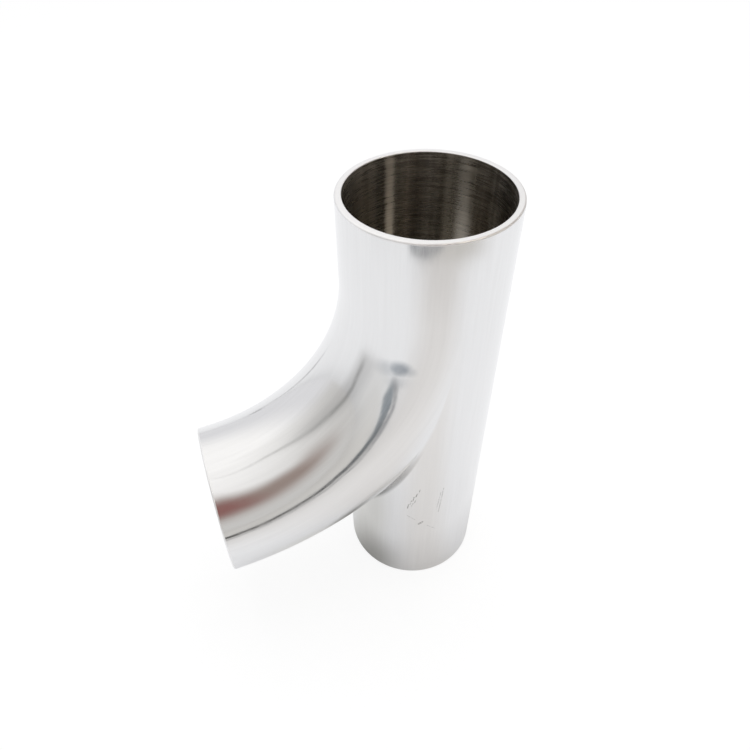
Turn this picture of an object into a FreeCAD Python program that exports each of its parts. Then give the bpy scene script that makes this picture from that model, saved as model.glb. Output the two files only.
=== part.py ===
# Swept branch wye tee for thin-walled stainless tube, welded from a straight
# run and a bend and polished all over, so that it is a single piece of metal.
# The run stands along +Z, with the origin at the centre of its lower end.
# The branch leaves the run tangentially near its top, sweeps down through a
# quarter turn and opens towards -X. All three ends are plain, for butt welding.

import os

import FreeCAD, Part
from math import acos, asin, cos, pi, sin, sqrt, tan

Vector = FreeCAD.Vector

# Tube
TUBE_DIAMETER = 38.1
WALL = 1.5

# Run and branch
RUN_LENGTH = 120.0
TOP_STRAIGHT = 20.0        # from the upper end down to where the bend begins
BEND_RADIUS = 57.15        # to the bend's centre line

# Polished weld in the crotch
WELD_BLEND = 3.0
WELD_STOP = 4.0            # degrees short of the run's sides, where it has thinned out

# Dressed edges of the three ends
OUTER_CHAMFER = 0.5
INNER_CHAMFER = 0.2

# How the weld is drawn
WELD_STATIONS = 31
WELD_SEAT = 0.004          # its edges are let into the metal, by this share of its radius
WELD_BACK = 1.0            # and its back lies this far beyond the crease
MARGIN = 2.0               # by which a cutting shape clears what it cuts

# Worked out from the sizes above
OUTER_RADIUS = TUBE_DIAMETER / 2
BORE_RADIUS = OUTER_RADIUS - WALL
BEND_START = RUN_LENGTH - TOP_STRAIGHT


def straight_run(radius):
    return Part.makeCylinder(radius, RUN_LENGTH)


def quarter_bend(radius):
    """A rod of this radius that turns from -Z, on the run's axis, to -X."""
    front = Vector(0, -radius, BEND_START)
    back = Vector(0, radius, BEND_START)
    outer_half = Part.Arc(front, Vector(radius, 0, BEND_START), back)
    inner_half = Part.Arc(back, Vector(-radius, 0, BEND_START), front)
    start = Part.Wire([outer_half.toShape(), inner_half.toShape()])
    centre = Vector(-BEND_RADIUS, 0, BEND_START)
    return Part.Face(start).revolve(centre, Vector(0, 1, 0), 90)


def branch_side(radius):
    """The space that belongs to the branch.

    Its curved face passes through all points as far from the run's axis as
    from the bend's centre line. From the side that is a parabola, and the two
    rods meet on it in one clean seam.
    """
    drop = BEND_RADIUS + radius + MARGIN
    floor = BEND_START - drop
    near = -drop ** 2 / (4 * BEND_RADIUS)
    far = -BEND_RADIUS - MARGIN
    front = -radius - MARGIN
    parabola = Part.BezierCurve()
    parabola.setPoles([
        Vector(0, front, BEND_START),
        Vector(0, front, BEND_START - drop / 2),
        Vector(near, front, floor),
    ])
    corners = [
        Vector(near, front, floor),
        Vector(far, front, floor),
        Vector(far, front, BEND_START),
        Vector(0, front, BEND_START),
    ]
    sides = [Part.makeLine(a, b) for a, b in zip(corners, corners[1:])]
    outline = Part.Wire([parabola.toShape()] + sides)
    return Part.Face(outline).extrude(Vector(0, -2 * front, 0))


def joined_rods(radius):
    """Run and branch as solid rods of one radius."""
    space = branch_side(radius)
    run = straight_run(radius).cut(space)
    branch = quarter_bend(radius).common(space)
    return run.fuse(branch)


def weld_section(around):
    """Section of the weld where a ball of its radius touches run and branch.

    The ball's centre is as far from the run's axis as from the bend's centre
    line, so it lies on the same parabola as the seam. around is its angle
    about the run, counted from the crotch.
    """
    out = (OUTER_RADIUS + WELD_BLEND) * cos(around)
    side = (OUTER_RADIUS + WELD_BLEND) * sin(around)
    height = BEND_START - 2 * sqrt(BEND_RADIUS * out)
    ball = Vector(-out, side, height)
    on_run = Vector(-OUTER_RADIUS * cos(around), OUTER_RADIUS * sin(around), height)

    turn = acos((BEND_RADIUS - out) / (BEND_RADIUS + out))
    bend_point = Vector(
        BEND_RADIUS * (cos(turn) - 1), 0, BEND_START - BEND_RADIUS * sin(turn)
    )
    to_ball = ball - bend_point
    on_bend = bend_point + to_ball * (OUTER_RADIUS / (OUTER_RADIUS + WELD_BLEND))

    inward = (on_run + on_bend - ball * 2).normalize()
    half_arc = (on_run - ball).getAngle(inward)
    corner = ball + inward * (WELD_BLEND / cos(half_arc))
    seat = inward * WELD_BLEND * WELD_SEAT
    pull = 4 / 3 * tan(half_arc / 2) / tan(half_arc)
    hollow = Part.BezierCurve()
    hollow.setPoles([
        on_run + seat,
        on_run + (corner - on_run) * pull + seat,
        on_bend + (corner - on_bend) * pull + seat,
        on_bend + seat,
    ])
    back = corner + inward * WELD_BACK
    return Part.Wire([
        hollow.toShape(),
        Part.makeLine(on_bend + seat, back),
        Part.makeLine(back, on_run + seat),
    ])


def weld():
    """Polished weld along the seam, which thins out where the rods are tangent.

    Its sections stand closer together towards its two thin ends.
    """
    reach = asin(1 - WELD_STOP / 90)
    sections = []
    for i in range(WELD_STATIONS):
        step = 2 * i / (WELD_STATIONS - 1) - 1
        sections.append(weld_section(pi / 2 * sin(step * reach)))
    return Part.makeLoft(sections, True, False)


def edge_cutter(radius, size, side, end, out):
    """A ring that takes the corner off an edge of this radius at a tube's end.

    side is 1 for the outer edge and -1 for the inner one. end and out are the
    centre of the tube's flat end and the direction that it faces.
    """
    away = Vector(0, side, 0)
    rim = end + Vector(0, radius, 0)
    beyond = (out - away) * MARGIN
    corners = [
        rim - away * size + beyond,
        rim + (out + away) * MARGIN,
        rim - out * size - beyond,
    ]
    triangle = Part.Face(Part.makePolygon(corners + corners[:1]))
    return triangle.revolve(end, out, 360)


def wye_body():
    outside = joined_rods(OUTER_RADIUS).fuse(weld())
    body = outside.cut(joined_rods(BORE_RADIUS))
    ends = [
        (Vector(0, 0, 0), Vector(0, 0, -1)),
        (Vector(0, 0, RUN_LENGTH), Vector(0, 0, 1)),
        (Vector(-BEND_RADIUS, 0, BEND_START - BEND_RADIUS), Vector(-1, 0, 0)),
    ]
    for end, out in ends:
        body = body.cut(edge_cutter(OUTER_RADIUS, OUTER_CHAMFER, 1, end, out))
        body = body.cut(edge_cutter(BORE_RADIUS, INNER_CHAMFER, -1, end, out))
    return body.Solids[0]


def main():
    os.makedirs("parts", exist_ok=True)
    wye_body().exportStep("parts/wye_body.step")


main()
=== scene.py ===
# Polished swept branch wye tee on a pale floor.
# The fitting's visible surface is one closed mesh, drawn from the box of the
# solid that it stands for and a few sizes of its own, with its finish in
# procedural materials.

import math
from collections import namedtuple
from functools import reduce

import bpy
import numpy as np
from mathutils import Matrix, Vector


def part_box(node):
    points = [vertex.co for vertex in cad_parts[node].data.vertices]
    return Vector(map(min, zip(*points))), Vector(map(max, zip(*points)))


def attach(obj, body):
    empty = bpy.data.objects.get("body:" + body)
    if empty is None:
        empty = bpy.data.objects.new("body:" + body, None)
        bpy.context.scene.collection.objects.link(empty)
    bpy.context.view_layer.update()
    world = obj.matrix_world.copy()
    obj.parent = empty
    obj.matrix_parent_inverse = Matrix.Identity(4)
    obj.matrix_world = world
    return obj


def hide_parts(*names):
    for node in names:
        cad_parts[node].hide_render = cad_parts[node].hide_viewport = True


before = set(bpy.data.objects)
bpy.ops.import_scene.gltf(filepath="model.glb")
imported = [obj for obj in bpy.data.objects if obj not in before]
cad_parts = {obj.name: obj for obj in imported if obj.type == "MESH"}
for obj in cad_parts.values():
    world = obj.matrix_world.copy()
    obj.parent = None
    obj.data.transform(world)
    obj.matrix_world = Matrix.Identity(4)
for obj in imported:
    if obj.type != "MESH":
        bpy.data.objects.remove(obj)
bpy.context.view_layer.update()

MM = 0.001                     # in metres
DEGREES = 180 / math.pi        # in a radian
QUARTER = math.pi / 2


def in_millimetres(coordinate):
    """A coordinate of the solid's box, to a thousandth of a millimetre."""
    return round(coordinate / MM, 3)


# Sizes of the fitting, in millimetres. The run stands on z = 0 round the Z axis and
# the branch opens towards -X, so the solid's box gives the first three.
lowest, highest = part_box("wye_body")
RADIUS = in_millimetres(highest[1])
LENGTH = in_millimetres(highest[2])
BEND_RADIUS = in_millimetres(-lowest[0])
WALL = 1.5
TOP_STRAIGHT = 20.0            # from the upper end down to where the bend begins
WELD_BLEND = 3.0
INNER_BLEND = 1.0
OUTER_ROUND = 0.45
INNER_ROUND = 0.2

BORE = RADIUS - WALL
BEND_START = LENGTH - TOP_STRAIGHT

# The weld
SEAM_ONLY = 0.16               # millimetres: a narrower weld is drawn as a seam
WELD_FULL = 60.0               # degrees round the run, up to which it has its own finish
WELD_FADED = 73.0              # and where that has faded out
WELD_SIDE = 0.25               # share of its width over which that fades in from each side

# Columns and rows of the mesh
COLUMNS = 80                   # round half of the tube
RUN_ROWS = 48
WELD_ROWS = 8
BEND_ROWS = 48
TOP_ROWS = 12
OUTER_ROUND_ROWS = 4
INNER_ROUND_ROWS = 3

# Finishes, in the order of the mesh's materials
OUTSIDE, INSIDE, ENDS = range(3)

# Camera, in millimetres and degrees
CAMERA_PLACE = (-48.71, -100.65, 179.97)
CAMERA_AZIMUTH = -110.05
CAMERA_ELEVATION = 45.04
CAMERA_ROLL = -0.68
CAMERA_FOCAL = 610.8           # in pixels of a picture 750 wide
CAMERA_NEAR = 0.005            # metres
PICTURE = 750
SENSOR = 36.0                  # the sensor's width in millimetres

# Lamp and floor, in metres
LAMP_PLACE = (0.1, 0.15, 0.9)
LAMP_TARGET = (-0.02, 0, 0.05)
LAMP_SIZE = 0.7
LAMP_WATTS = 3.0
FLOOR_REACH = 2.5              # from its middle to each side


# The mesh

class Skin:
    """Points, normals and faces of a surface.

    straight is each point's place on the unbent tube, axis the direction of the
    tube there, and weld how far the point belongs to the dressed weld.
    """

    def __init__(self):
        self.points = []
        self.normals = []
        self.straight = []
        self.axis = []
        self.weld = []
        self.faces = []
        self.finish = []

    def add(self, point, normal, straight, axis, weld=0.0):
        self.points.append(point)
        self.normals.append(normal)
        self.straight.append(straight)
        self.axis.append(axis)
        self.weld.append(weld)
        return len(self.points) - 1

    def quads(self, rows, finish, flip):
        """Faces between rows of point numbers. Corners that are one point are merged."""
        for low, high in zip(rows, rows[1:]):
            for i in range(len(low) - 1):
                corners = [low[i], low[i + 1], high[i + 1], high[i]]
                if flip:
                    corners.reverse()
                face = [c for k, c in enumerate(corners) if c != corners[k - 1]]
                if len(face) > 2:
                    self.faces.append(face)
                    self.finish.append(finish)


Place = namedtuple("Place", "point normal straight axis")


def spread(start, stop, count):
    """Evenly spaced values from start to stop, with both of them."""
    return [start + (stop - start) * i / count for i in range(count + 1)]


def run_point(radius, angle, height):
    """A place on the run. angle is counted from the branch's side, towards +Y."""
    x, y = -radius * math.cos(angle), radius * math.sin(angle)
    normal = (x / radius, y / radius, 0.0)
    return Place((x, y, height), normal, (x, y, height), (0.0, 0.0, 1.0))


def bend_point(radius, around, turn):
    """A place on the bend. around is counted from the outer side of the bend."""
    c, s = math.cos(turn), math.sin(turn)
    out, side = math.cos(around), math.sin(around)
    normal = (out * c, side, -out * s)
    middle = (BEND_RADIUS * (c - 1), 0.0, BEND_START - BEND_RADIUS * s)
    point = tuple(m + radius * n for m, n in zip(middle, normal))
    along = BEND_START - BEND_RADIUS * turn
    return Place(point, normal, (radius * out, radius * side, along), (s, 0.0, c))


def bend_end(radius, around, edge):
    """The turn at which the bend is this far from its open end."""
    return math.acos(edge / (BEND_RADIUS + radius * math.cos(around)))


def weld_ball(radius, blend, angle):
    """The ball that touches run and bend: its centre, where it touches, and the turn there."""
    out = (radius + blend) * math.cos(angle)
    side = (radius + blend) * math.sin(angle)
    height = BEND_START - 2 * math.sqrt(BEND_RADIUS * out)
    turn = math.acos((BEND_RADIUS - out) / (BEND_RADIUS + out))
    on_run = run_point(radius, angle, height)
    on_bend = bend_point(radius, angle, turn)
    return Vector((-out, side, height)), on_run, on_bend, turn


class Tube:
    """The joined surface of run and bend at one radius, open at its three ends.

    Its points stop edge short of each end, where the end's rounding begins.
    """

    def __init__(self, skin, radius, blend, edge, inside):
        self.skin = skin
        self.radius = radius
        self.blend = blend
        self.edge = edge
        self.inside = inside
        self.above_bend = spread(BEND_START, LENGTH - edge, TOP_ROWS)[1:]

    def put(self, point, normal, straight, axis, weld=0.0):
        """Adds a point, whose normal faces the axis if this is the tube's inside."""
        sign = -1.0 if self.inside else 1.0
        return self.skin.add(point, tuple(sign * n for n in normal), straight, axis, weld)

    def along_run(self, angle, heights):
        return [self.put(*run_point(self.radius, angle, height)) for height in heights]

    def along_bend(self, around, turns):
        return [self.put(*bend_point(self.radius, around, turn)) for turn in turns]

    def across_weld(self, angle, ball, on_run, on_bend):
        """The weld's points between run and bend, without the two where it touches them."""
        start = (Vector(on_run.point) - ball).normalized()
        stop = (Vector(on_bend.point) - ball).normalized()
        # its own finish fades out where it is thin
        wide = (math.radians(WELD_FADED) - abs(angle)) / math.radians(WELD_FADED - WELD_FULL)
        wide = min(max(wide, 0.0), 1.0)
        points = []
        for share in spread(0, 1, WELD_ROWS)[1:-1]:
            away = start.slerp(stop, share)
            nearest = on_run if share < 0.5 else on_bend
            own = wide * min(1.0, min(share, 1 - share) / WELD_SIDE)
            points.append(self.put(tuple(ball + away * self.blend), tuple(-away),
                                   nearest.straight, nearest.axis, own))
        return points

    def near_columns(self, angle):
        """Columns over run, weld and bend on the branch's side of the run."""
        ball, on_run, on_bend, turn = weld_ball(self.radius, self.blend, angle)
        width = math.hypot(on_run.point[0] - on_bend.point[0],
                           on_run.point[2] - on_bend.point[2])
        seam = width < SEAM_ONLY
        if seam:
            ball, on_run, on_bend, turn = weld_ball(self.radius, 0.0, angle)
            middle = (Vector(on_run.normal) + Vector(on_bend.normal)).normalized()
            on_run = on_run._replace(normal=tuple(middle))
        run = self.along_run(angle, spread(self.edge, on_run.point[2], RUN_ROWS)[:-1])
        run.append(self.put(*on_run))
        first = run[-1] if seam else self.put(*on_bend)
        end = bend_end(self.radius, angle, self.edge)
        bend = [first] + self.along_bend(angle, spread(turn, end, BEND_ROWS)[1:])
        if seam:
            weld = [first] * (WELD_ROWS + 1)
        else:
            weld = [run[-1]] + self.across_weld(angle, ball, on_run, on_bend) + [first]
        return run, weld, bend

    def far_columns(self, run):
        """Columns over the other side of the run, which shares both its sides."""
        columns = []
        for k, degrees in enumerate(spread(90, 270, COLUMNS)):
            angle = math.radians(degrees)
            if k == 0:
                column = list(run[-1])
            elif k == COLUMNS:
                column = list(run[0])
            else:
                column = self.along_run(angle, spread(self.edge, BEND_START, RUN_ROWS))
            columns.append(column + self.along_run(angle, self.above_bend))
        return columns

    def inner_columns(self, steps, bend, far):
        """Columns over the inner side of the bend and on up the run."""
        columns = []
        for k, step in enumerate(steps):
            if k in (0, COLUMNS):
                above = far[-1 if k == 0 else 0][RUN_ROWS + 1:]
                columns.append(bend[k][::-1] + above)
                continue
            angle = QUARTER * step
            around = math.copysign(math.pi - abs(angle), angle)
            end = bend_end(self.radius, around, self.edge)
            turns = [end * (1 - i / BEND_ROWS) for i in range(BEND_ROWS + 1)]
            column = self.along_bend(around, turns)
            columns.append(column + self.along_run(angle, self.above_bend))
        return columns

    def draw(self, finish):
        """Adds all faces, and returns the rings at the lower, upper and branch ends."""
        steps = spread(-1, 1, COLUMNS)
        # run and bend part slowly at their sides, so that the columns stand closer there
        near = [self.near_columns(QUARTER * math.sin(QUARTER * step)) for step in steps]
        run, weld, bend = zip(*near)
        far = self.far_columns(run)
        inner = self.inner_columns(steps, bend, far)
        for grid in (run, weld, bend, far, inner):
            self.skin.quads(list(zip(*grid)), finish, not self.inside)
        lower = [c[0] for c in run] + [c[0] for c in far[1:-1]]
        upper = [c[-1] for c in inner] + [c[-1] for c in far[1:-1]]
        branch = [c[-1] for c in bend] + [c[0] for c in inner[-2:0:-1]]
        return lower, upper, branch


def end_face(skin, outer, inner, place, out, along):
    """The flat end of the tube between two rings, with its two rounded edges.

    place and out are its centre and the way it faces, and along is its height on
    the unbent tube.
    """
    place, out = Vector(place), Vector(out)
    directions = []
    for number in outer:
        away = Vector(skin.points[number]) - place
        away -= out * away.dot(out)
        directions.append(away.normalized())

    def ring(radius, depth, lean):
        row = []
        for number, away in zip(outer, directions):
            point = place + away * radius - out * depth
            normal = away * math.cos(lean) + out * math.sin(lean)
            x, y, _ = skin.straight[number]
            size = math.hypot(x, y)
            straight = (x / size * radius, y / size * radius, along)
            row.append(skin.add(tuple(point), tuple(normal), straight, skin.axis[number]))
        return row

    rows = [outer]
    for k in range(1, OUTER_ROUND_ROWS + 1):
        t = QUARTER * k / OUTER_ROUND_ROWS
        radius = RADIUS - OUTER_ROUND * (1 - math.cos(t))
        rows.append(ring(radius, OUTER_ROUND * (1 - math.sin(t)), t))
    for k in range(INNER_ROUND_ROWS):
        t = QUARTER * (1 - k / INNER_ROUND_ROWS)
        radius = BORE + INNER_ROUND * (1 - math.cos(t))
        rows.append(ring(radius, INNER_ROUND * (1 - math.sin(t)), math.pi - t))
    rows.append(inner)
    before = len(skin.faces)
    skin.quads([row + row[:1] for row in rows], ENDS, False)
    # the rings run either way round as seen from outside, so the faces may have to turn over
    corners = skin.faces[before + 1]
    a, b, c = (Vector(skin.points[number]) for number in corners[:3])
    if (b - a).cross(c - b).dot(Vector(skin.normals[corners[0]])) < 0:
        for face in skin.faces[before:]:
            face.reverse()


def fitting():
    """The whole visible fitting as one closed mesh with exact normals."""
    skin = Skin()
    outer = Tube(skin, RADIUS, WELD_BLEND, OUTER_ROUND, inside=False).draw(OUTSIDE)
    inner = Tube(skin, BORE, INNER_BLEND, INNER_ROUND, inside=True).draw(INSIDE)
    mouth = (-BEND_RADIUS, 0, BEND_START - BEND_RADIUS)
    ends = (
        ((0, 0, 0), (0, 0, -1), 0.0),
        ((0, 0, LENGTH), (0, 0, 1), LENGTH),
        (mouth, (-1, 0, 0), BEND_START - BEND_RADIUS * QUARTER),
    )
    for outer_ring, inner_ring, (place, out, along) in zip(outer, inner, ends):
        end_face(skin, outer_ring, inner_ring, place, out, along)

    mesh = bpy.data.meshes.new("wye_dressed")
    points = [tuple(MM * v for v in p) for p in skin.points]
    mesh.from_pydata(points, [], skin.faces)
    mesh.polygons.foreach_set("material_index", skin.finish)
    mesh.polygons.foreach_set("use_smooth", [True] * len(skin.faces))
    for name, values in (("straight", skin.straight), ("axis", skin.axis)):
        item = mesh.attributes.new(name, "FLOAT_VECTOR", "POINT")
        item.data.foreach_set("vector", np.array(values, float).ravel())
    mesh.attributes.new("weld", "FLOAT", "POINT").data.foreach_set("value", skin.weld)
    mesh.normals_split_custom_set_from_vertices(skin.normals)
    mesh.update()
    return bpy.data.objects.new("wye_dressed", mesh)


# Nodes

class Nodes:
    """Short names for the nodes of one material or world."""

    # a mix node's sockets for colours
    MIX_FIRST, MIX_SECOND, MIX_RESULT = 6, 7, 2

    def __init__(self, owner):
        owner.use_nodes = True
        self.tree = owner.node_tree
        self.tree.nodes.clear()

    def new(self, kind, **settings):
        node = self.tree.nodes.new(kind)
        for name, value in settings.items():
            setattr(node, name, value)
        return node

    def set(self, socket, value):
        """Links a socket, or sets its number, vector or colour. A colour is red, green, blue."""
        if isinstance(value, bpy.types.NodeSocket):
            self.tree.links.new(value, socket)
        elif value is not None:
            socket.default_value = (*value, 1.0) if socket.type == "RGBA" else value

    def math(self, operation, *values):
        node = self.new("ShaderNodeMath", operation=operation)
        for socket, value in zip(node.inputs, values):
            self.set(socket, value)
        return node.outputs[0]

    def plus(self, first, second):
        return self.math("ADD", first, second)

    def minus(self, first, second):
        return self.math("SUBTRACT", first, second)

    def times(self, *values):
        return reduce(lambda a, b: self.math("MULTIPLY", a, b), values)

    def strongest(self, values):
        return reduce(lambda a, b: self.math("MAXIMUM", a, b), values)

    def vector(self, operation, *values):
        node = self.new("ShaderNodeVectorMath", operation=operation)
        for socket, value in zip(node.inputs, values):
            self.set(socket, value)
        return node.outputs[0]

    def split(self, vector):
        node = self.new("ShaderNodeSeparateXYZ")
        self.set(node.inputs[0], vector)
        return node.outputs

    def attribute(self, name, output):
        return self.new("ShaderNodeAttribute", attribute_name=name).outputs[output]

    def own_place(self):
        """Each point's place in its object, in millimetres."""
        place = self.vector("SCALE", self.new("ShaderNodeTexCoord").outputs["Object"])
        place.node.inputs["Scale"].default_value = 1 / MM
        return place

    def turn(self, x, y):
        """Angle about the Z axis in radians, from -X towards -Y, so that it jumps at +X."""
        return self.math("ARCTAN2", self.times(y, -1.0), self.times(x, -1.0))

    def off_axis(self, x, y):
        """Distance from the Z axis."""
        return self.math("SQRT", self.plus(self.times(x, x), self.times(y, y)))

    def remap(self, value, low, high, to_low=0.0, to_high=1.0, smooth=False):
        """From low to high the value goes from to_low to to_high, and no further."""
        node = self.new("ShaderNodeMapRange", clamp=True)
        if smooth:
            node.interpolation_type = "SMOOTHSTEP"
        for name, item in (("Value", value), ("From Min", low), ("From Max", high),
                           ("To Min", to_low), ("To Max", to_high)):
            self.set(node.inputs[name], item)
        return node.outputs["Result"]

    def window(self, value, low, high, soft):
        """1 inside low and high and 0 outside, with a smooth crossing within soft of each."""
        rise = self.remap(value, low - soft, low + soft, smooth=True)
        fall = self.remap(value, high - soft, high + soft, 1.0, 0.0, smooth=True)
        return self.times(rise, fall)

    def patch(self, first, first_window, second, second_window):
        """The product of two values' windows, each as low, high and soft."""
        return self.times(self.window(first, *first_window),
                          self.window(second, *second_window))

    def noise(self, place, pattern):
        if pattern.squeeze:
            place = self.vector("MULTIPLY", place, pattern.squeeze)
        node = self.new("ShaderNodeTexNoise")
        self.set(node.inputs["Vector"], place)
        node.inputs["Scale"].default_value = pattern.scale
        node.inputs["Detail"].default_value = pattern.detail
        node.inputs["Roughness"].default_value = pattern.roughness
        return node.outputs["Fac"]

    def mix(self, share, first, second):
        """The first colour where share is 0 and the second where it is 1."""
        node = self.new("ShaderNodeMix", data_type="RGBA")
        self.set(node.inputs["Factor"], share)
        self.set(node.inputs[self.MIX_FIRST], first)
        self.set(node.inputs[self.MIX_SECOND], second)
        return node.outputs[self.MIX_RESULT]


# Materials

# Patterns of noise. squeeze is a factor on x, y and z of the place, where a small one
# draws the marks out that way, and scale is in features per millimetre.
Pattern = namedtuple("Pattern", "squeeze scale detail roughness")

FINE_MARKS = Pattern((1.0, 1.0, 0.06), 5.0, 3.0, 0.6)
HAZE = Pattern((1.0, 1.0, 0.5), 0.09, 3.0, 0.55)
WAVES = Pattern((1.0, 1.0, 0.7), 0.11, 1.0, 0.4)
WELD_MARKS = Pattern((0.3, 0.3, 1.0), 2.6, 3.0, 0.6)
LONG_LINES = Pattern((1.0, 1.0, 0.03), 1.3, 3.0, 0.6)
CLOUDS = Pattern(None, 0.3, 2.0, 0.5)
BREAKS = Pattern(None, 1.6, 1.0, 0.5)
BORE_RINGS = Pattern((0.05, 0.05, 1.0), 3.0, 3.0, 0.65)
BORE_STREAKS = Pattern((1.0, 1.0, 0.02), 0.3, 3.0, 0.6)
END_CLOUDS = Pattern(None, 1.2, 2.0, 0.5)
NOISE_SPREAD = (0.3, 0.7)      # between which nearly all of a noise lies

# Roughness, as its range over a pattern, or what a full mark adds
OUTSIDE_ROUGH = (0.06, 0.13)
FINE_ROUGH = (0.0, 0.07)
WELD_ROUGH = (0.06, 0.2)
# what the painted dark reflection adds to the roughness
DARK_REFLECTION_ROUGH = 0.1
BORE_ROUGH = (0.22, 0.31)
# what the painted reflections in the bore add to the roughness
REFLECTION_BAND_ROUGH = 0.1
ENDS_ROUGH = (0.34, 0.46)

# Depths of the marks that have one, in millimetres
WAVE_DEPTH = 0.05
FINE_DEPTH = 0.0018
WELD_MARK_DEPTH = 0.004
SCRATCH_DEPTH = 0.03
RING_DEPTH = 0.005

# Colours
STEEL_DARK = (0.805, 0.802, 0.8)
STEEL_LIGHT = (0.832, 0.83, 0.828)
WELD_STEEL = (0.52, 0.52, 0.52)
# painted reflection of something dark, blue-grey, where the branch leaves the run
DARK_REFLECTION = (0.36, 0.385, 0.415)
SCRATCHED = (0.3, 0.29, 0.28)
# the bore's dark, warm base: partly its honed finish, partly painted shade
BORE_DARK = (0.24, 0.215, 0.175)
BORE_LIGHT = (0.58, 0.54, 0.48)
# colour of the painted reflections in the bore
BORE_REFLECTION = (0.93, 0.86, 0.76)
CUT_STEEL = (0.9, 0.895, 0.89)

# Spots of the painted dark reflection: centre, radius of the full part, radius where it ends,
# and strength
DARK_REFLECTION_SPOTS = (
    ((-12.4, -16.0, 89.1), 0.9, 3.8, 1.0),
    ((-14.5, -14.5, 88.7), 0.6, 4.2, 0.5),
    ((-10.9, -17.2, 88.6), 0.6, 2.8, 0.5),
    ((-12.6, -15.6, 85.8), 0.6, 4.2, 0.24),
)
SPOT_FLATNESS = 1.35           # how much wider than high a spot is

# Scratches near the run's foot: degrees round the run from -X towards -Y, and height,
# of both ends, then half the width in millimetres
SCRATCHES = (
    ((61.5, 35.5), (62.4, 37.6), 0.18),
    ((63.4, 37.4), (64.6, 39.4), 0.2),
    ((65.6, 39.2), (66.5, 41.4), 0.19),
    ((67.8, 41.2), (69.0, 42.8), 0.2),
    ((70.0, 42.8), (70.8, 44.6), 0.15),
    ((64.6, 36.6), (66.0, 38.2), 0.14),
    ((67.0, 38.4), (68.2, 40.2), 0.14),
    ((88.0, 32.5), (90.5, 43.5), 0.11),
    ((86.0, 34.0), (88.5, 42.0), 0.08),
    ((71.5, 27.5), (75.0, 29.0), 0.45),
    ((61.5, 32.0), (68.5, 30.0), 0.06),
    ((78.0, 27.0), (87.0, 24.0), 0.06),
)
SCRATCH_FADE = 0.3             # millimetres over which both its ends fade
SCRATCH_CORE = 0.4             # share of its half width that is at full strength

# Painted reflections in the bore, as lighter bands along it: degrees from +X towards +Y where
# each begins and ends, how softly, and how strong it is
BORE_REFLECTION_BANDS = (
    (92, 98.5, 2.5, 1.0),
    (106, 150, 8, 0.5),
    (47, 54, 3, 0.25),
    (31, 41, 4, 0.6),
)
RING_GRAIN = 0.93              # rings scatter light along the tube and hardly round it


def metal(name):
    """A new metal, its nodes and its shader."""
    material = bpy.data.materials.new(name)
    nodes = Nodes(material)
    shader = nodes.new("ShaderNodeBsdfPrincipled")
    shader.inputs["Metallic"].default_value = 1.0
    output = nodes.new("ShaderNodeOutputMaterial")
    nodes.set(output.inputs["Surface"], shader.outputs[0])
    return material, nodes, shader


def dress(nodes, shader, colour, roughness, *layers):
    """Gives a metal its colour, its roughness and its layers of height.

    Each layer comes with its full depth in millimetres.
    """
    nodes.set(shader.inputs["Base Color"], colour)
    nodes.set(shader.inputs["Roughness"], roughness)
    normal = None
    for height, depth in layers:
        bump = nodes.new("ShaderNodeBump")
        bump.inputs["Distance"].default_value = depth * MM
        nodes.set(bump.inputs["Height"], height)
        nodes.set(bump.inputs["Normal"], normal)
        normal = bump.outputs[0]
    nodes.set(shader.inputs["Normal"], normal)


def spot(nodes, place, centre, inner, outer):
    """1 within inner of the centre and 0 beyond outer, in millimetres. Lower than wide."""
    offset = nodes.vector("SUBTRACT", place, centre)
    offset = nodes.vector("MULTIPLY", offset, (1.0, 1.0, SPOT_FLATNESS))
    far = nodes.new("ShaderNodeVectorMath", operation="LENGTH")
    nodes.set(far.inputs[0], offset)
    return nodes.remap(far.outputs["Value"], inner, outer, 1.0, 0.0, smooth=True)


def painted_dark_reflection(nodes, place):
    """A painted blue-grey reflection of something dark, where the branch leaves the run."""
    spots = [
        nodes.times(spot(nodes, place, centre, inner, outer), strength)
        for centre, inner, outer, strength in DARK_REFLECTION_SPOTS
    ]
    cloudy = nodes.remap(nodes.noise(place, CLOUDS), *NOISE_SPREAD, 0.7, 1.0)
    return nodes.times(nodes.strongest(spots), cloudy)


def hairline(nodes, around, height, start, end, half):
    """A fine straight scratch on the run, from start to end.

    around and height are the place on the run's unrolled surface, in millimetres.
    """
    (a, b), (c, d) = start, end
    length = math.hypot(c - a, d - b)
    cos, sin = (c - a) / length, (d - b) / length
    u = nodes.minus(around, a)
    v = nodes.minus(height, b)
    forth = nodes.plus(nodes.times(u, cos), nodes.times(v, sin))
    aside = nodes.math("ABSOLUTE", nodes.minus(nodes.times(v, cos), nodes.times(u, sin)))
    inside = nodes.window(forth, 0.0, length, SCRATCH_FADE)
    return nodes.times(inside, nodes.remap(aside, half * SCRATCH_CORE, half, 1.0, 0.0))


def scratches(nodes, place):
    """A few hairline scratches near the foot, on the run only and broken up."""
    x, y, z = nodes.split(place)
    around = nodes.times(RADIUS, nodes.turn(x, y))
    lines = [
        hairline(nodes, around, z, (RADIUS * math.radians(a), b),
                 (RADIUS * math.radians(c), d), half)
        for (a, b), (c, d), half in SCRATCHES
    ]
    off_run = nodes.math("ABSOLUTE", nodes.minus(nodes.off_axis(x, y), RADIUS))
    on_run = nodes.remap(off_run, 0.1, 0.2, 1.0, 0.0)
    broken = nodes.remap(nodes.noise(place, BREAKS), 0.35, 0.55)
    return nodes.times(nodes.strongest(lines), on_run, broken)


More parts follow.
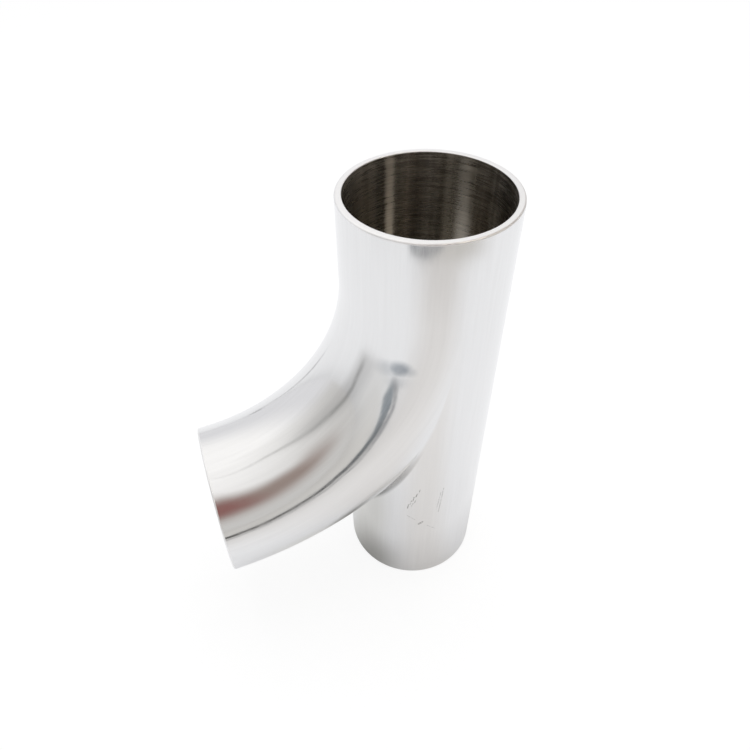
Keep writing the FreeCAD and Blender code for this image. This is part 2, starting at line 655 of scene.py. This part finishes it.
def polished_outside():
    """Belt-polished steel: near-mirror, with fine marks along the tube and faint haze."""
    material, nodes, shader = metal("polished outside")
    straight = nodes.attribute("straight", "Vector")
    fine = nodes.noise(straight, FINE_MARKS)
    haze = nodes.noise(straight, HAZE)
    rough = nodes.plus(nodes.remap(haze, 0.35, 0.7, *OUTSIDE_ROUGH),
                       nodes.remap(fine, 0.4, 0.8, *FINE_ROUGH))
    lines = nodes.noise(straight, LONG_LINES)
    colour = nodes.mix(nodes.remap(lines, *NOISE_SPREAD), STEEL_DARK, STEEL_LIGHT)

    # the dressed weld is duller, with marks across it
    weld = nodes.attribute("weld", "Fac")
    marks = nodes.noise(straight, WELD_MARKS)
    dull = nodes.times(weld, nodes.remap(marks, *NOISE_SPREAD, *WELD_ROUGH))
    rough = nodes.plus(rough, dull)
    colour = nodes.mix(weld, colour, WELD_STEEL)

    place = nodes.own_place()
    # a painted dark reflection, which also roughens the surface a little there
    dark_reflection_share = painted_dark_reflection(nodes, place)
    colour = nodes.mix(dark_reflection_share, colour, DARK_REFLECTION)
    rough = nodes.plus(rough, nodes.times(dark_reflection_share, DARK_REFLECTION_ROUGH))
    scratched = scratches(nodes, place)
    colour = nodes.mix(scratched, colour, SCRATCHED)

    dress(nodes, shader, colour, rough,
          (nodes.noise(straight, WAVES), WAVE_DEPTH),
          (fine, FINE_DEPTH),
          (nodes.times(marks, weld), WELD_MARK_DEPTH),
          (nodes.times(scratched, -1.0), SCRATCH_DEPTH))
    return material


def painted_bore_reflections(nodes, place, rings):
    """Painted reflections: lighter bands along the bore, broken by its rings and stronger deeper
    in.
    """
    x, y, z = nodes.split(place)
    around = nodes.times(nodes.math("ARCTAN2", y, x), DEGREES)
    reflection_bands = nodes.strongest([
        nodes.times(nodes.window(around, low, high, soft), strength)
        for low, high, soft, strength in BORE_REFLECTION_BANDS
    ])
    return nodes.times(reflection_bands, nodes.remap(rings, 0.34, 0.62, 0.6, 1.0),
                       nodes.remap(z, 98, 116, 1.3, 0.65))


def honed_bore():
    """Drawn and honed bore: darker, with fine rings round it and streaks along it. Its dark,
    warm base is partly the honed finish and partly painted shade.
    """
    material, nodes, shader = metal("honed bore")
    place = nodes.attribute("straight", "Vector")
    rings = nodes.noise(place, BORE_RINGS)
    streaks = nodes.noise(place, BORE_STREAKS)
    shade = nodes.plus(nodes.remap(rings, *NOISE_SPREAD, -0.18, 0.18),
                       nodes.remap(streaks, 0.36, 0.66, 0.1, 0.9))
    # painted reflections, as lighter bands along the bore
    reflection_bands = painted_bore_reflections(nodes, place, rings)
    colour = nodes.mix(reflection_bands, nodes.mix(shade, BORE_DARK, BORE_LIGHT), BORE_REFLECTION)
    rough = nodes.plus(nodes.remap(rings, *NOISE_SPREAD, *BORE_ROUGH),
                       nodes.times(reflection_bands, REFLECTION_BAND_ROUGH))
    shader.inputs["Anisotropic"].default_value = RING_GRAIN
    nodes.set(shader.inputs["Tangent"], nodes.attribute("axis", "Vector"))
    dress(nodes, shader, colour, rough, (rings, RING_DEPTH))
    return material


def cut_ends():
    """Dressed ends: bright and cloudy, duller than the outside."""
    material, nodes, shader = metal("cut ends")
    clouds = nodes.noise(nodes.attribute("straight", "Vector"), END_CLOUDS)
    dress(nodes, shader, CUT_STEEL, nodes.remap(clouds, *NOISE_SPREAD, *ENDS_ROUGH))
    return material


# The studio

# Only the metal shows its grey, dark and warm parts. turn is in degrees round the
# fitting from -X, where the branch opens, towards -Y. In the tent, up is the height in
# degrees, and on the floor, away is the distance from the run's axis in millimetres.

WHITE = (1.0, 1.0, 1.0)
WORLD_LIGHT = 0.75             # strength of the world as light on matt things

# Colours of the tent, and of the room and things in front of it
TENT_LOW = (0.66, 0.65, 0.635)
TENT_HIGH = (1.1, 1.09, 1.08)
TENT_FAR_LOW = (0.83, 0.83, 0.85)
TENT_FAR_HIGH = (1.13, 1.12, 1.11)
TENT_BRANCH_SIDE = (0.56, 0.55, 0.54)
TENT_SEAM_LOW = (0.33, 0.33, 0.32)
TENT_SEAM_HIGH = (0.78, 0.77, 0.76)
WARM_SHAPE = (0.35, 0.28, 0.25)
WARM_CORE = (0.29, 0.14, 0.13)
ROOM_DARK = (0.12, 0.115, 0.11)
ROOM_DIM = (0.42, 0.36, 0.32)
SOFT_BOX = (10.0, 9.3, 8.3)

# The floor itself, and how much of it glows for the camera and in the metal
FLOOR_PAINT = (0.9, 0.9, 0.9)
FLOOR_GLOW = (1.04, 1.04, 1.04)
GLOW_TO_CAMERA = 0.82
GLOW_IN_METAL = 0.3

# Colours of its paper and of the gap beyond it
PAPER_SIDES = (0.94, 0.945, 0.96)
PAPER_FRONT = (0.88, 0.865, 0.855)
PAPER_FRONT_FAR = (0.75, 0.73, 0.715)
PAPER_RIGHT_FAR = (0.74, 0.73, 0.72)
PAPER_DULL = (0.62, 0.6, 0.57)
# painted shadow round the run's foot, which only the metal mirrors
FOOT_SHADOW = (0.3, 0.3, 0.29)
PAPER_EDGE = (0.36, 0.36, 0.37)
GAP_BRANCH_SIDE = (0.30, 0.33, 0.355)
GAP_FRONT = (0.05, 0.05, 0.05)

# Patches of paper: window in turn, window away, each as low, high and soft, and colour
PAST_FLOOR = 5000              # farther away than the floor's corners
FAR_PATCHES = (
    ((12, 46, 9), (215, PAST_FLOOR, 17), (0.80, 0.80, 0.80)),
    ((-3, 20, 7), (222, PAST_FLOOR, 20), (0.67, 0.67, 0.675)),
    ((40, 130, 25), (285, PAST_FLOOR, 40), (0.72, 0.705, 0.68)),
)
# painted shade between the branch and the run's foot, which only the metal mirrors
NEAR_SHADE_PATCHES = (
    ((-22, 30, 17), (0, 46, 12), (0.92, 0.92, 0.9)),
    ((2, 50, 22), (0, 25, 6), (0.48, 0.475, 0.46)),
)

# Folds in the paper: two distances and the fold's turn at each, half its width in
# degrees, the distances between which it comes in, and its colour
FOLD_BEHIND = ((145, 900, -54, -74), 1.2, (190, 340), (0.42, 0.42, 0.43))
FOLD_BRANCH_SIDE = ((150, 800, 4, 9), 2.0, (222, 300), (0.36, 0.36, 0.36))

# The paper's edge is a parabola: where it comes nearest, how near, and how it bends
EDGE_TURN = 62.0
EDGE_AWAY = 191.5
EDGE_BEND = 0.022              # millimetres in a square degree


def seen_share(nodes, camera, glossy):
    """How much of a plain glow a ray sees, by the kind of ray."""
    rays = nodes.new("ShaderNodeLightPath").outputs
    return nodes.strongest([
        nodes.times(rays["Is Camera Ray"], camera),
        nodes.times(rays["Is Transmission Ray"], camera),
        nodes.times(rays["Is Glossy Ray"], glossy),
    ])


def tent(nodes, turn, up):
    """A tent that is darker low down, most so on the branch's side, with one seam."""
    colour = nodes.mix(nodes.remap(up, -5.0, 80.0, smooth=True), TENT_LOW, TENT_HIGH)
    far_side = nodes.window(turn, -132, -20, 12)
    far_light = nodes.mix(nodes.remap(up, 10.0, 50.0, smooth=True),
                          TENT_FAR_LOW, TENT_FAR_HIGH)
    colour = nodes.mix(far_side, colour, far_light)
    branch_side = nodes.patch(turn, (-4, 16, 8), up, (-16, 30, 18))
    colour = nodes.mix(branch_side, colour, TENT_BRANCH_SIDE)
    # the seam rises from the branch's side and leans forward near the top
    lean = nodes.remap(up, 48, 78)
    lean = nodes.times(lean, lean, 35)
    seam = nodes.window(nodes.minus(turn, lean), 7.5, 12.5, 2)
    seam = nodes.times(seam, nodes.remap(up, 76, 84, 1.0, 0.0))
    seam_colour = nodes.mix(nodes.remap(up, 8, 66), TENT_SEAM_LOW, TENT_SEAM_HIGH)
    return nodes.mix(seam, colour, seam_colour)


def warm_shape(nodes, colour, turn, up):
    """Something warm and dark stands in front, beside the camera."""
    centre = nodes.remap(turn, 42, 80, 18, 34)
    half = nodes.remap(turn, 42, 80, 10, 18)
    across = nodes.math("DIVIDE", nodes.math("ABSOLUTE", nodes.minus(up, centre)), half)
    warm = nodes.times(nodes.remap(across, 0.2, 1.7, 1.0, 0.0, smooth=True),
                       nodes.remap(turn, 20, 56, smooth=True),
                       nodes.remap(turn, 125, 135, 1.0, 0.0))
    colour = nodes.mix(warm, colour, WARM_SHAPE)
    core = nodes.times(nodes.remap(across, 0.1, 1.1, 1.0, 0.0, smooth=True),
                       nodes.window(turn, 72, 125, 9))
    return nodes.mix(core, colour, WARM_CORE)


def dim_room(nodes, colour, turn, up):
    """The room on the camera's right is dim, with one tall soft box in it."""
    above = nodes.window(up, 15, 100, 20)
    room = nodes.mix(nodes.remap(turn, 125, 145), ROOM_DARK, ROOM_DIM)
    # turn jumps at +X, so that the room is laid in two parts
    to_jump = nodes.times(nodes.window(turn, 97, 200, 6), above)
    colour = nodes.mix(to_jump, colour, room)
    from_jump = nodes.times(nodes.window(turn, -200, -152, 8), above)
    colour = nodes.mix(from_jump, colour, ROOM_DIM)
    return nodes.mix(nodes.patch(turn, (125, 134, 2.5), up, (37, 64, 6)), colour, SOFT_BOX)


def studio_world():
    """White to the camera and as light. The metal mirrors the tent and the room."""
    world = bpy.data.worlds.new("studio")
    bpy.context.scene.world = world
    nodes = Nodes(world)
    background = nodes.new("ShaderNodeBackground")
    output = nodes.new("ShaderNodeOutputWorld")
    nodes.set(output.inputs["Surface"], background.outputs[0])
    x, y, z = nodes.split(nodes.new("ShaderNodeTexCoord").outputs["Generated"])
    up = nodes.times(nodes.math("ARCSINE", z), DEGREES)
    turn = nodes.times(nodes.turn(x, y), DEGREES)
    colour = tent(nodes, turn, up)
    colour = warm_shape(nodes, colour, turn, up)
    colour = dim_room(nodes, colour, turn, up)
    glossy = nodes.new("ShaderNodeLightPath").outputs["Is Glossy Ray"]
    nodes.set(background.inputs["Color"], nodes.mix(glossy, WHITE, colour))
    strength = nodes.remap(seen_share(nodes, 1.0, 1.0), 0.0, 1.0, WORLD_LIGHT, 1.0)
    nodes.set(background.inputs["Strength"], strength)


def paper(nodes, turn, away):
    """Paper that is lighter on both sides and greyer in front, with duller far parts."""
    front = nodes.mix(nodes.remap(away, 90, 185, smooth=True), PAPER_FRONT, PAPER_FRONT_FAR)
    colour = nodes.mix(nodes.window(turn, 60, 108, 20), PAPER_SIDES, front)
    right = nodes.strongest([nodes.remap(turn, 115, 150, smooth=True),
                             nodes.remap(turn, -130, -150, smooth=True)])
    right = nodes.times(right, nodes.remap(away, 250, 1300, smooth=True))
    colour = nodes.mix(right, colour, PAPER_RIGHT_FAR)
    colour = patched(nodes, colour, turn, away, FAR_PATCHES)
    dull = nodes.times(nodes.remap(away, 182, 198, smooth=True),
                       nodes.remap(away, 260, 340, 1.0, 0.0, smooth=True),
                       nodes.window(turn, 72, 130, 28))
    return nodes.mix(dull, colour, PAPER_DULL)


def patched(nodes, colour, turn, away, patches):
    for turn_window, away_window, patch_colour in patches:
        share = nodes.patch(turn, turn_window, away, away_window)
        colour = nodes.mix(share, colour, patch_colour)
    return colour


def folded(nodes, colour, turn, away, fold):
    course, half, fade, fold_colour = fold
    share = nodes.window(nodes.minus(turn, nodes.remap(away, *course)), -half, half, half)
    share = nodes.times(share, nodes.remap(away, *fade, smooth=True))
    return nodes.mix(share, colour, fold_colour)


def gap(nodes, colour, turn, away):
    """The dark gap beyond the paper's edge, with a grey line along the edge."""
    off = nodes.minus(turn, EDGE_TURN)
    beyond = nodes.minus(away, nodes.plus(nodes.times(off, off, EDGE_BEND), EDGE_AWAY))
    narrow = nodes.patch(beyond, (0, 14, 2.5), turn, (45, 86, 5))
    wide = nodes.patch(beyond, (0, 30, 2.5), turn, (61, 67, 3))
    colour = nodes.mix(nodes.strongest([narrow, wide]), colour, PAPER_EDGE)
    near = nodes.minus(beyond, nodes.remap(turn, 50, 70, 13, 37, smooth=True))
    far = nodes.minus(away, nodes.remap(turn, 60, 67, 271, 292, smooth=True))
    across = nodes.times(nodes.remap(near, -4, 6, smooth=True),
                         nodes.remap(far, -10, 10, 1.0, 0.0, smooth=True))
    along = nodes.times(nodes.remap(turn, 42, 48, smooth=True),
                        nodes.remap(turn, 94, 150, 1.0, 0.0))
    dark = nodes.mix(nodes.remap(turn, 54, 72), GAP_BRANCH_SIDE, GAP_FRONT)
    return nodes.mix(nodes.times(across, along), colour, dark)


def mirrored_floor(nodes):
    """The floor as the metal mirrors it."""
    x, y, _ = nodes.split(nodes.own_place())
    away = nodes.off_axis(x, y)
    turn = nodes.times(nodes.turn(x, y), DEGREES)
    colour = paper(nodes, turn, away)
    # painted shade, as little light reaches it between the branch and the run's foot
    colour = patched(nodes, colour, turn, away, NEAR_SHADE_PATCHES)
    colour = nodes.mix(nodes.remap(away, 18, 32, 0.2, 0.0), colour, FOOT_SHADOW)
    colour = folded(nodes, colour, turn, away, FOLD_BEHIND)
    colour = gap(nodes, colour, turn, away)
    return folded(nodes, colour, turn, away, FOLD_BRANCH_SIDE)


def floor():
    """A pale floor that keeps the fitting's shadow."""
    mesh = bpy.data.meshes.new("floor")
    corners = [(-1, -1), (1, -1), (1, 1), (-1, 1)]
    mesh.from_pydata([(x * FLOOR_REACH, y * FLOOR_REACH, 0) for x, y in corners],
                     [], [(0, 1, 2, 3)])
    item = bpy.data.objects.new("floor", mesh)
    bpy.context.scene.collection.objects.link(item)
    material = bpy.data.materials.new("white floor")
    nodes = Nodes(material)
    colour = mirrored_floor(nodes)
    glossy = nodes.new("ShaderNodeLightPath").outputs["Is Glossy Ray"]
    paint = nodes.new("ShaderNodeBsdfDiffuse")
    nodes.set(paint.inputs["Color"], nodes.mix(glossy, FLOOR_PAINT, colour))
    glow = nodes.new("ShaderNodeEmission")
    nodes.set(glow.inputs["Color"], nodes.mix(glossy, FLOOR_GLOW, colour))
    both = nodes.new("ShaderNodeMixShader")
    nodes.set(both.inputs[0], seen_share(nodes, GLOW_TO_CAMERA, GLOW_IN_METAL))
    nodes.set(both.inputs[1], paint.outputs[0])
    nodes.set(both.inputs[2], glow.outputs[0])
    output = nodes.new("ShaderNodeOutputMaterial")
    nodes.set(output.inputs["Surface"], both.outputs[0])
    mesh.materials.append(material)


def soft_lamp():
    """A soft lamp overhead, which the metal doesn't mirror."""
    lamp = bpy.data.lights.new("overhead", "AREA")
    lamp.shape = "DISK"
    lamp.size = LAMP_SIZE
    lamp.energy = LAMP_WATTS
    item = bpy.data.objects.new("overhead", lamp)
    item.location = LAMP_PLACE
    way = Vector(LAMP_TARGET) - Vector(LAMP_PLACE)
    item.rotation_euler = way.to_track_quat("-Z", "Y").to_euler()
    item.visible_glossy = False
    bpy.context.scene.collection.objects.link(item)


def camera():
    """The camera, from the direction that it looks from and its roll."""
    azimuth = math.radians(CAMERA_AZIMUTH)
    elevation = math.radians(CAMERA_ELEVATION)
    roll = math.radians(CAMERA_ROLL)
    away = Vector((math.cos(elevation) * math.cos(azimuth),
                   math.cos(elevation) * math.sin(azimuth), math.sin(elevation)))
    ahead = -away
    level = ahead.cross(Vector((0, 0, 1))).normalized()
    above = level.cross(ahead)
    right = level * math.cos(roll) + above * math.sin(roll)
    up = above * math.cos(roll) - level * math.sin(roll)
    data = bpy.data.cameras.new("camera")
    data.sensor_width = SENSOR
    data.sensor_fit = "HORIZONTAL"
    data.lens = CAMERA_FOCAL / PICTURE * SENSOR
    data.clip_start = CAMERA_NEAR
    item = bpy.data.objects.new("camera", data)
    turned = Matrix((right, up, away)).transposed().to_4x4()
    item.matrix_world = Matrix.Translation(Vector(CAMERA_PLACE) * MM) @ turned
    bpy.context.scene.collection.objects.link(item)
    bpy.context.scene.camera = item


wye = fitting()
bpy.context.scene.collection.objects.link(wye)
wye.data.materials.append(polished_outside())
wye.data.materials.append(honed_bore())
wye.data.materials.append(cut_ends())
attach(wye, "root")
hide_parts("wye_body")

studio_world()
floor()
soft_lamp()
camera()

bpy.context.scene.view_settings.view_transform = "Standard"
